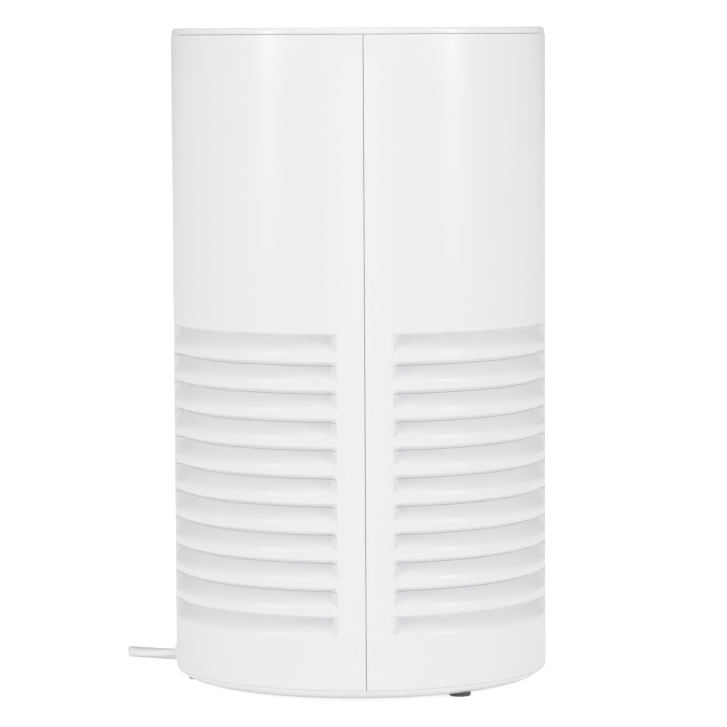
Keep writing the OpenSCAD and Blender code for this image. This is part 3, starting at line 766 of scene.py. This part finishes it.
@dataclass
class TopAssembly:
    """The top ring, the outlet grille, the keys and their symbols."""

    shop: Workshop
    fins: int = 48
    edge: float = 2.1 * MM
    key_names: tuple[str, ...] = ("power", "timer", "speed", "sleep")
    throat: float = 98 * MM
    skirt: float = 9 * MM
    ring_height: float = 3.66 * MM
    hub: float = 47.4 * MM
    fin_width: float = 1.6 * MM

    def ring(self) -> None:
        """Makes the top ring, with its rounded outer edge and its skirt."""
        _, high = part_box("top_ring")
        outer, top = high[0], high[2]
        inner, under = self.throat, top - self.ring_height
        outline = rounded_path([
            (inner, top - self.skirt, 0.0), (inner, top, 1.0 * MM), (outer, top, self.edge),
            (outer, under, 0.15 * MM), (inner + 4 * MM, under, 0.0),
            (inner + 2.2 * MM, under - 8 * MM, 0.0), (inner - 2.6 * MM, top - self.skirt, 0.0),
        ], steps=7)
        piece = lathed("top_ring_skin", outline, 224, closed=True)
        self.shop.hand_over(piece, RIM, "housing", "white_plastic", ["top_ring"])

    def grille(self) -> None:
        """Makes the outlet grille: fins between two rings, tied by a middle ring."""
        low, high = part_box("outlet_grille")
        outer, bottom, top = high[0], low[2], high[2]
        hub, middle = self.hub, (bottom + top) / 2
        rings = [(hub, hub + 2.6 * MM, 0.0), (73 * MM, 74.6 * MM, 0.6 * MM), (outer - 2.3 * MM, outer, 0.0)]
        parts = []
        for index, (near, far, drop) in enumerate(rings):
            bend = 0.5 * MM
            outline = rounded_path([
                (near, middle, 0.0), (near, top - drop, bend), (far, top - drop, bend),
                (far, bottom + drop, bend), (near, bottom + drop, bend), (near, middle, 0.0),
            ], steps=3)[:-1]
            parts.append(lathed(f"grille_ring_{index}", outline, 160, closed=True))
        bm = bmesh.new()
        reach = outer - hub - 2 * self.fin_width
        height = top - bottom - 0.4 * MM
        for fin in range(self.fins):
            shift = moved(hub + self.fin_width + reach / 2, 0.0, bottom + height / 2)
            place = turn_z(360.0 * (fin + 0.5) / self.fins) @ shift
            add_block(bm, (reach, self.fin_width, height), place, 0.45 * MM)
        parts.append(finished("grille_fins", bm))
        piece = joined("outlet_grille_skin", parts)
        self.shop.hand_over(piece, GRILLE, "housing", "grille_plastic", ["outlet_grille"])

    def keys(self) -> None:
        """Makes each key as a dished cap with a symbol, riding on its own body."""
        for name in self.key_names:
            node = f"{name}_key"
            low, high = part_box(node)
            centre = ((low[0] + high[0]) / 2, (low[1] + high[1]) / 2, 0.0)
            collar = (high[0] - low[0]) / 2
            cap = collar - 1 * MM
            top = high[2]
            waist = top - 5.5 * MM
            outline = rounded_path([
                (0.0, top - 0.35 * MM, 0.0), (cap * 0.72, top - 0.25 * MM, 4 * MM),
                (cap * 0.86, top, 0.8 * MM), (cap, top, 0.5 * MM), (cap, waist, 0.0),
                (collar, waist, 0.2 * MM), (collar, waist - 1.4 * MM, 0.2 * MM),
                (2 * MM, waist - 1.4 * MM, 0.3 * MM), (2 * MM, low[2], 0.0), (0.0, low[2], 0.0),
            ], steps=4)
            piece = lathed(f"{node}_cap", outline, 72, at=centre)
            self.shop.hand_over(piece, KEY, node, "key_plastic", [node])
            mark = self.symbol(name, Vector((centre[0], centre[1], top - 0.34 * MM)))
            self.shop.hand_over(mark, SYMBOL, node, "dark_plastic")

    def symbol(self, name: str, at: Vector) -> Piece:
        """Makes a key's thin raised symbol.

        Args:
            name: Which key it is for.
            at: The middle of the key's face.

        Returns:
            The symbol: a broken ring and a bar, a clock, fan petals or a crescent.
        """
        bm = bmesh.new()
        thick = 0.12 * MM
        radius = (3.6 if name == "power" else 2.6) * MM
        width = 0.55 * MM

        def arc(start: float, sweep: float, mid: float, shift: Vector) -> None:
            """Adds a flat arc of the symbol's line width."""
            inner, outer = mid - width / 2, mid + width / 2
            before = set(bm.verts)
            loop = [(inner, 0, 0), (outer, 0, 0), (outer, 0, thick), (inner, 0, thick)]
            add_swept(bm, loop, start, sweep, 24)
            bmesh.ops.translate(bm, verts=[v for v in bm.verts if v not in before], vec=shift)

        def bar(length: float, degrees: float, start: float) -> None:
            """Adds a straight stroke that starts a distance from the middle."""
            place = turn_z(degrees) @ moved(start + length / 2, 0, thick / 2)
            add_block(bm, (length, width, thick), place, 0.03 * MM, 1)

        if name == "power":
            arc(120.0, 300.0, radius, ORIGIN)
            bar(radius * 0.9, 90.0, radius * 0.25)
        elif name == "timer":
            arc(0.0, 359.0, radius, ORIGIN)
            bar(radius * 0.62, 90.0, 0.0)
            bar(radius * 0.45, 0.0, 0.0)
        elif name == "speed":
            for petal in range(3):
                arc(petal * 120.0, 75.0, radius, ORIGIN)
                bar(radius * 0.7, petal * 120.0 + 20.0, radius * 0.2)
        else:
            arc(60.0, 240.0, radius, ORIGIN)
            arc(75.0, 210.0, radius * 0.8, Vector((radius * 0.42, 0.0, 0.0)))
        face_out(bm)
        bmesh.ops.translate(bm, verts=bm.verts, vec=at)
        return finished(f"{name}_symbol", bm)

    def build(self) -> None:
        """Makes the whole top."""
        self.ring()
        self.grille()
        self.keys()


@dataclass
class BaseAssembly:
    """The twist-off base cover and its feet."""

    shop: Workshop
    curve: tuple[tuple[float, float], ...] = (
        (22, 0), (19.5, 0.04), (17, 0.12), (15, 0.25), (13, 0.44), (11, 0.7), (9, 1.03), (7.5, 1.38),
        (6, 1.85), (4.7, 2.4), (3.5, 3.03), (2.4, 3.72), (1.5, 4.38), (0.8, 5.02), (0.3, 5.6), (0.05, 6.1),
    )
    foot_ring: float = 93 * MM
    foot_radius: float = 6 * MM
    foot_angle: float = 94.6
    feet_count: int = 3
    grip_radius: float = 30 * MM
    grip_depth: float = 3.4 * MM
    rim_height: float = 6.44 * MM
    spigot: float = 89 * MM
    spigot_height: float = 12 * MM
    spigot_wall: float = 2.2 * MM

    def cover(self) -> None:
        """Makes the cover: a rounded disc with a grip recess and an upright collar inside."""
        low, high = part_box("base_cover")
        outer, under = high[0], low[2]
        rim, grip = under + self.rim_height, under + self.grip_depth
        inside, crest = self.spigot - self.spigot_wall, rim + self.spigot_height
        underside = [(outer - inset * MM, under + rise * MM, 0.0) for inset, rise in self.curve]
        outline = rounded_path([
            (0.0, grip, 0.0), (self.grip_radius, grip, 1.5 * MM), (self.grip_radius, under, 0.8 * MM),
            *underside, (outer, rim, 0.1 * MM), (self.spigot, rim, 0.5 * MM),
            (self.spigot, crest, 0.5 * MM), (inside, crest, 0.5 * MM), (inside, rim, 0.5 * MM),
            (self.grip_radius + 3 * MM, rim, 0.5 * MM),
            (self.grip_radius + 3 * MM, rim + 1.4 * MM, 0.5 * MM), (0.0, rim + 1.4 * MM, 0.0),
        ], steps=8)
        parts = [lathed("cover_disc", outline, 224)]
        bm = bmesh.new()
        bar = (2 * self.grip_radius - 1 * MM, 9 * MM, self.grip_depth)
        add_block(bm, bar, moved(0, 0, under + self.grip_depth / 2 + 0.1 * MM), 1.2 * MM, 3)
        dash, lug = mm(6, 1.2, 0.5), mm(2.4, 30, 2)
        dash_at = (42 * MM, 0, under + 0.1 * MM)
        lug_at = (self.spigot + 0.9 * MM, 0, rim + 8.9 * MM)
        blocks = [(dash, dash_at, 90.0 + 25.0 * side, 0.2 * MM) for side in (-1, 1)]
        blocks += [(lug, lug_at, 120.0 * index + 1.5, 0.3 * MM) for index in range(3)]
        for size, at, degrees, bevel in blocks:
            add_block(bm, size, turn_z(degrees) @ Matrix.Translation(at), bevel)
        parts.append(finished("cover_grip", bm))
        piece = joined("base_cover_skin", parts)
        self.shop.hand_over(piece, RIM, "base_cover", "white_plastic", ["base_cover"])

    def feet(self) -> None:
        """Makes the feet, each a rubber disc with a rounded tread."""
        _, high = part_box("rubber_feet")
        edge, crown = self.foot_radius, high[2]
        outline = rounded_path([
            (0.0, 0.3 * MM, 0.0), (edge * 0.5, 0.3 * MM, 0.4 * MM), (edge * 0.6, 0.0, 0.4 * MM),
            (edge, 0.0, 0.9 * MM), (edge, crown, 0.0), (0.0, crown, 0.0),
        ], steps=4)
        parts = []
        for index in range(self.feet_count):
            at = turned((self.foot_ring, 0.0, 0.0), self.foot_angle + 360.0 / self.feet_count * index)
            parts.append(lathed(f"foot_{index}", outline, 48, at=at))
        piece = joined("rubber_feet_skin", parts)
        self.shop.hand_over(piece, RUBBER, "base_cover", "foot_rubber", ["rubber_feet"])

    def build(self) -> None:
        """Makes the base."""
        self.cover()
        self.feet()


# Mains lead

@dataclass
class MainsLead:
    """The flat twin lead: out of the gland, round behind the unit, wound up and tied, to its plug."""

    shop: Workshop
    width: float = 6.6 * MM
    thickness: float = 3.6 * MM
    length: float = 1.5
    coil_centre: Point2 = (165 * MM, 0.0)
    coil_radius: float = 36 * MM
    route: tuple[Point3, ...] = (
        (0, 106, 13.9), (1.9, 115.2, 13.5), (7.3, 123.4, 12.8), (15.5, 129.4, 11.8),
        (25.6, 132.6, 10.6), (36.4, 132.6, 9), (46.5, 129.4, 7.2), (54.7, 123.4, 5.5),
        (60.1, 115.2, 4.1), (62, 106, 3.4), (64, 98, 3.4), (69, 90.5, 3.4), (76, 83, 3.4),
        (83.5, 75, 3.4), (91, 66.5, 3.4), (98, 57.5, 3.4), (104.5, 48, 3.4), (110.5, 38, 3.4),
        (116, 28, 3.4), (120.8, 18.4, 3.4), (124.2, 9, 3.4), (125.2, 0, 3.4),
    )
    tail: tuple[Point3, ...] = (
        (204.8, 0, 10.2), (205, 9, 9.4), (205.3, 18, 7.4), (205.5, 27, 5.6), (205.5, 36, 4.8),
    )
    turn_points: int = 28
    turns_from: float = 18 * MM
    turns_over: float = 32 * MM

    def coil_points(self, turns: int, start: float, end: float) -> list[Vector]:
        """Works out the turns: two layers high and three across, a rope's width apart.

        Args:
            turns: Whole turns.
            start: Angle at which the lead joins the ring, in degrees.
            end: Angle at which it leaves, in degrees.

        Returns:
            The points of the wound length.
        """
        total = turns * 360.0 + (end - start) % 360.0
        count = round(total / 360.0 * self.turn_points)
        lanes = [(1, 0), (0, 0), (-1, 0), (-1, 1), (0, 1), (1, 1)]
        points = []
        for index in range(count + 1):
            travelled = index / count * total / 360.0
            lane = min(int(travelled), len(lanes) - 1)
            following = min(lane + 1, len(lanes) - 1)
            blend = eased((travelled - lane - 0.7) / 0.3)
            across = lanes[lane][0] * (1 - blend) + lanes[following][0] * blend
            layer = lanes[lane][1] * (1 - blend) + lanes[following][1] * blend
            radius = self.coil_radius + across * (self.thickness + 0.25 * MM)
            angle = math.radians(start + index / count * total)
            height = self.width / 2 + 0.1 * MM + layer * (self.width + 0.2 * MM)
            points.append(Vector((
                self.coil_centre[0] + radius * math.cos(angle),
                self.coil_centre[1] + radius * math.sin(angle),
                height,
            )))
        return points

    def on_edge(self, travelled: float) -> float:
        """Returns how far the flat lead has turned on edge, from 0 to 1, at a distance along it."""
        return eased((travelled - self.turns_from) / self.turns_over)

    def whole_route(self) -> list[Vector]:
        """Returns the lead's centreline from the gland to the plug."""
        lead = smooth_route([mm(*p) for p in self.route], 3)
        tail = smooth_route([mm(*p) for p in self.tail], 4)
        entry = lead[-1] - Vector((*self.coil_centre, 0.0))
        leave = tail[0] - Vector((*self.coil_centre, 0.0))
        start = math.degrees(math.atan2(entry.y, entry.x))
        end = math.degrees(math.atan2(leave.y, leave.x))
        turns = self.coil_points(5, start, end)
        return lead[:-1] + turns[:-1] + tail

    def section(self) -> Piece:
        """Makes the lead's section as a closed curve: two round cores with a web between."""
        core = self.thickness / 2
        shift = self.width / 2 - core
        outline: list[Point2] = []
        for side in (1, -1):
            for step in range(7):
                angle = math.radians((-75 + 25 * step) if side > 0 else (105 + 25 * step))
                outline.append((side * shift + core * math.cos(angle), core * math.sin(angle)))
        curve = bpy.data.curves.new("lead_section", "CURVE")
        curve.dimensions = "2D"
        spline = curve.splines.new("POLY")
        spline.points.add(len(outline) - 1)
        for point, (x, y) in zip(spline.points, outline, strict=True):
            point.co = (x, y, 0.0, 1.0)
        spline.use_cyclic_u = True
        return placed("lead_section", curve)

    def tube(self, route: Sequence[Vector]) -> Piece:
        """Sweeps the section along the route; it turns on edge as the lead reaches the floor."""
        holder = self.section()
        curve = bpy.data.curves.new("lead_path", "CURVE")
        curve.dimensions = "3D"
        curve.twist_mode = "Z_UP"
        curve.bevel_mode = "OBJECT"
        curve.bevel_object = holder
        curve.use_fill_caps = True
        spline = curve.splines.new("POLY")
        spline.points.add(len(route) - 1)
        travelled = 0.0
        for index, (point, place) in enumerate(zip(spline.points, route, strict=True)):
            if index:
                travelled += (place - route[index - 1]).length
            point.co = (*place, 1.0)
            point.tilt = math.radians(90.0) * self.on_edge(travelled)
        path = placed("lead_path", curve)
        mesh = bpy.data.meshes.new_from_object(path.evaluated_get(bpy.context.evaluated_depsgraph_get()))
        bm = bmesh.new()
        bm.from_mesh(mesh)
        bpy.data.objects.remove(path)
        bpy.data.objects.remove(holder)
        bmesh.ops.remove_doubles(bm, verts=bm.verts, dist=1e-6)
        face_out(bm)
        return finished("mains_lead", bm, 60.0)

    def tie(self) -> Piece:
        """Makes the strap round the bundle of turns, with its buckle."""
        low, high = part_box("cord_tie")
        centre = [(low[k] + high[k]) / 2 for k in range(3)]
        side, crest = (high[1] - low[1]) / 2, (high[2] - low[2]) / 2
        foot, bend = 0.1 * MM - crest, 3 * MM
        bm = bmesh.new()
        outline = rounded_path([
            (0.0, foot, 0.0), (side, foot, bend), (side, crest, bend),
            (-side, crest, bend), (-side, foot, bend), (0.0, foot, 0.0),
        ], steps=5)[:-1]
        loop = chain(bm, [(0.0, y, z) for y, z in outline], closed=True)
        edges = [part for part in loop if isinstance(part, bmesh.types.BMEdge)]
        strip = bmesh.ops.extrude_edge_only(bm, edges=edges)
        bmesh.ops.translate(bm, verts=verts_of(strip["geom"]), vec=(7 * MM, 0, 0))
        bmesh.ops.translate(bm, verts=bm.verts, vec=(-3.5 * MM, 0, 0))
        face_out(bm)
        bmesh.ops.solidify(bm, geom=bm.faces, thickness=0.8 * MM)
        add_block(bm, (8 * MM, 5 * MM, 1.2 * MM), moved(0, 0, crest - 0.7 * MM), 0.4 * MM)
        bmesh.ops.translate(bm, verts=bm.verts, vec=centre)
        return finished("lead_tie", bm)

    def plug(self) -> Piece:
        """Makes the plug's moulded body: a rounded block, grip ridges and a ribbed strain relief."""
        low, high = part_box("plug_body")
        middle_x = (low[0] + high[0]) / 2
        width, height = high[0] - low[0], high[2] - low[2]
        face_y, back_y = high[1], low[1] + 9 * MM
        bm = bmesh.new()
        block = (width, face_y - back_y, height - 0.2 * MM)
        centre = (middle_x, (face_y + back_y) / 2, height / 2 + 0.1 * MM)
        add_block(bm, block, Matrix.Translation(centre), 2.6 * MM, 4)
        for rib in range(4):
            place = moved(middle_x, face_y - (8 + 3 * rib) * MM, height / 2)
            add_block(bm, (width - 5 * MM, 1.3 * MM, height - 0.05 * MM), place, 0.5 * MM)
        for ring in range(5):
            share = ring / 5
            size = mm(14 - 5.6 * share, 1.2, 9 - 0.8 * share)
            place = moved(middle_x, back_y - (1 + 1.8 * ring) * MM, 4.7 * MM)
            add_block(bm, size, place, 0.5 * MM)
        neck = moved(middle_x, back_y - 4.2 * MM, 4.4 * MM)
        add_block(bm, mm(7.8, 9.6, 7.4), neck, 1.2 * MM)
        return finished("plug_moulding", bm)

    def build(self) -> None:
        route = self.whole_route()
        piece = self.tube(route)
        self.shop.hand_over(piece, LEAD, "housing", "cord_pvc", ["cord_lead", "cord_coil", "cord_tail"])
        tie = self.shop.hand_over(self.tie(), TIE, "housing", "tie_plastic", ["cord_tie"])
        plug = self.shop.hand_over(self.plug(), LEAD, "housing", "cord_pvc", ["plug_body"])
        length = sum((b - a).length for a, b in zip(route, route[1:]))
        LOG.info("the lead is %.3f m long", length)


# Studio

@dataclass
class Studio:
    """The floor, the light and the camera."""

    azimuth: float = 268.5
    distance: float = 2.300
    eye_height: float = 0.3672
    aim_height: float = 0.1793
    aim_side: float = -0.0022
    roll: float = -0.3
    lens: float = 200.1
    room_front: float = 0.675
    room_back: float = 0.47
    room_top: float = 0.10
    room_seen: float = 1.05
    floor_given: float = 0.20
    floor_seen: float = 0.64

    @staticmethod
    def aimed(eye: Vector, aim: Vector) -> Matrix:
        """Returns the place of a camera or lamp that stands at one point and faces another."""
        return Matrix.Translation(eye) @ (aim - eye).to_track_quat("-Z", "Y").to_matrix().to_4x4()

    @staticmethod
    def station(azimuth: float, reach: float, height: float) -> Vector:
        """Returns a point at an azimuth, a distance from the unit's axis and a height."""
        angle = math.radians(azimuth)
        return Vector((reach * math.sin(angle), -reach * math.cos(angle), height))

    def camera(self) -> None:
        """Places the camera level with the unit's top, looking slightly down."""
        data = bpy.data.cameras.new("camera")
        data.lens = self.lens
        data.sensor_width = 36.0
        data.clip_end = 50.0
        camera = placed("camera", data)
        eye = self.station(self.azimuth, self.distance, self.eye_height)
        aim = Vector((0.0, self.aim_side, self.aim_height))
        camera.matrix_world = self.aimed(eye, aim) @ turn_z(self.roll)
        bpy.context.scene.camera = camera

    @staticmethod
    def seen_level(tree: Tree, hidden: float, seen: float) -> Socket:
        """Returns a level that differs between direct sight and the light it gives."""
        rays = added(tree, "LightPath")
        level = added(tree, "MapRange", {"To Min": hidden, "To Max": seen})
        tree.links.new(rays.outputs["Is Camera Ray"], level.inputs["Value"])
        return level.outputs["Result"]

    def floor(self) -> None:
        """Lays a plain pale floor."""
        bm = bmesh.new()
        bmesh.ops.create_grid(bm, x_segments=1, y_segments=1, size=12.0)
        piece = finished("floor", bm)
        paint = bpy.data.materials.new("floor_white")
        paint.use_nodes = True
        shader = paint.node_tree.nodes["Principled BSDF"]
        fill(shader, {
            "Base Color": (0.88, 0.88, 0.88, 1.0), "Roughness": 0.9, "Specular IOR Level": 0.1,
            "Emission Color": WHITE,
        })
        glow = self.seen_level(paint.node_tree, self.floor_given, self.floor_seen)
        wire(paint.node_tree, (glow, shader.inputs["Emission Strength"]))
        piece.data.materials.append(paint)

    def light(
        self, name: str, azimuth: float, height: float, reach: float, size: Point2, power: float
    ) -> None:
        """Adds one soft box that faces the unit.

        Args:
            name: The light's name.
            azimuth: Its direction, measured as the camera's.
            height: Its height.
            reach: Its distance from the unit's axis.
            size: Its width and height.
            power: Its power in watts.
        """
        data = bpy.data.lights.new(name, "AREA")
        data.shape = "RECTANGLE"
        data.size, data.size_y = size
        data.energy = power
        eye = self.station(azimuth, reach, height)
        placed(name, data).matrix_world = self.aimed(eye, Vector((0.0, 0.0, 0.18)))

    def world(self) -> None:
        """Surrounds the scene with plain white light."""
        world = bpy.data.worlds.new("white_room")
        world.use_nodes = True
        tree = world.node_tree
        back = tree.nodes["Background"]
        fill(back, {"Color": WHITE})
        place = added(tree, "TexCoord")
        facing = added(tree, "VectorMath")
        facing.operation = "DOT_PRODUCT"
        facing.inputs[1].default_value = self.station(self.azimuth, 1.0, 0.0)
        levels = {"From Min": -1.0, "To Min": self.room_back, "To Max": self.room_front}
        side = added(tree, "MapRange", levels)
        split = added(tree, "SeparateXYZ")
        ceiling = added(tree, "Math")
        ceiling.operation = "MULTIPLY_ADD"
        ceiling.inputs[1].default_value = self.room_top
        shown = added(tree, "Math")
        shown.operation = "MAXIMUM"
        wire(
            tree,
            (place.outputs["Generated"], facing.inputs[0]),
            (facing.outputs["Value"], side.inputs["Value"]),
            (place.outputs["Generated"], split.inputs["Vector"]),
            (split.outputs["Z"], ceiling.inputs[0]), (side.outputs["Result"], ceiling.inputs[2]),
            (self.seen_level(tree, 0.0, self.room_seen), shown.inputs[0]),
            (ceiling.outputs["Value"], shown.inputs[1]),
            (shown.outputs["Value"], back.inputs["Strength"]),
        )
        bpy.context.scene.world = world
        bpy.context.scene.view_settings.view_transform = "Standard"

    def build(self) -> None:
        """Sets up the studio."""
        self.camera()
        self.floor()
        self.world()
        strip = (0.2, 1.5)
        self.light("top_box", self.azimuth, 2.4, 0.6, (1.6, 1.6), 10.0)
        self.light("front_box", self.azimuth, 0.45, 3.2, (1.4, 0.8), 5.0)
        self.light("right_box", self.azimuth + 59.0, 0.9, 2.0, strip, 7.3)
        self.light("left_box", self.azimuth - 56.0, 0.9, 2.0, strip, 7.3)


def main() -> None:
    """Builds the studio and every sub-assembly."""
    logging.basicConfig(level=logging.INFO, format="%(name)s: %(message)s")
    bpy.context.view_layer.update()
    shop = Workshop()
    Studio().build()
    for assembly in (
        MainsLead(shop),
        LouvredShell(shop, "rear_shell", 0.0, tongue=False),
        LouvredShell(shop, "front_shell", 180.0, tongue=True),
        TopAssembly(shop),
        BaseAssembly(shop),
    ):
        assembly.build()
    shop.dress_nodes(NODE_FINISHES)


if __name__ == "__main__":
    main()
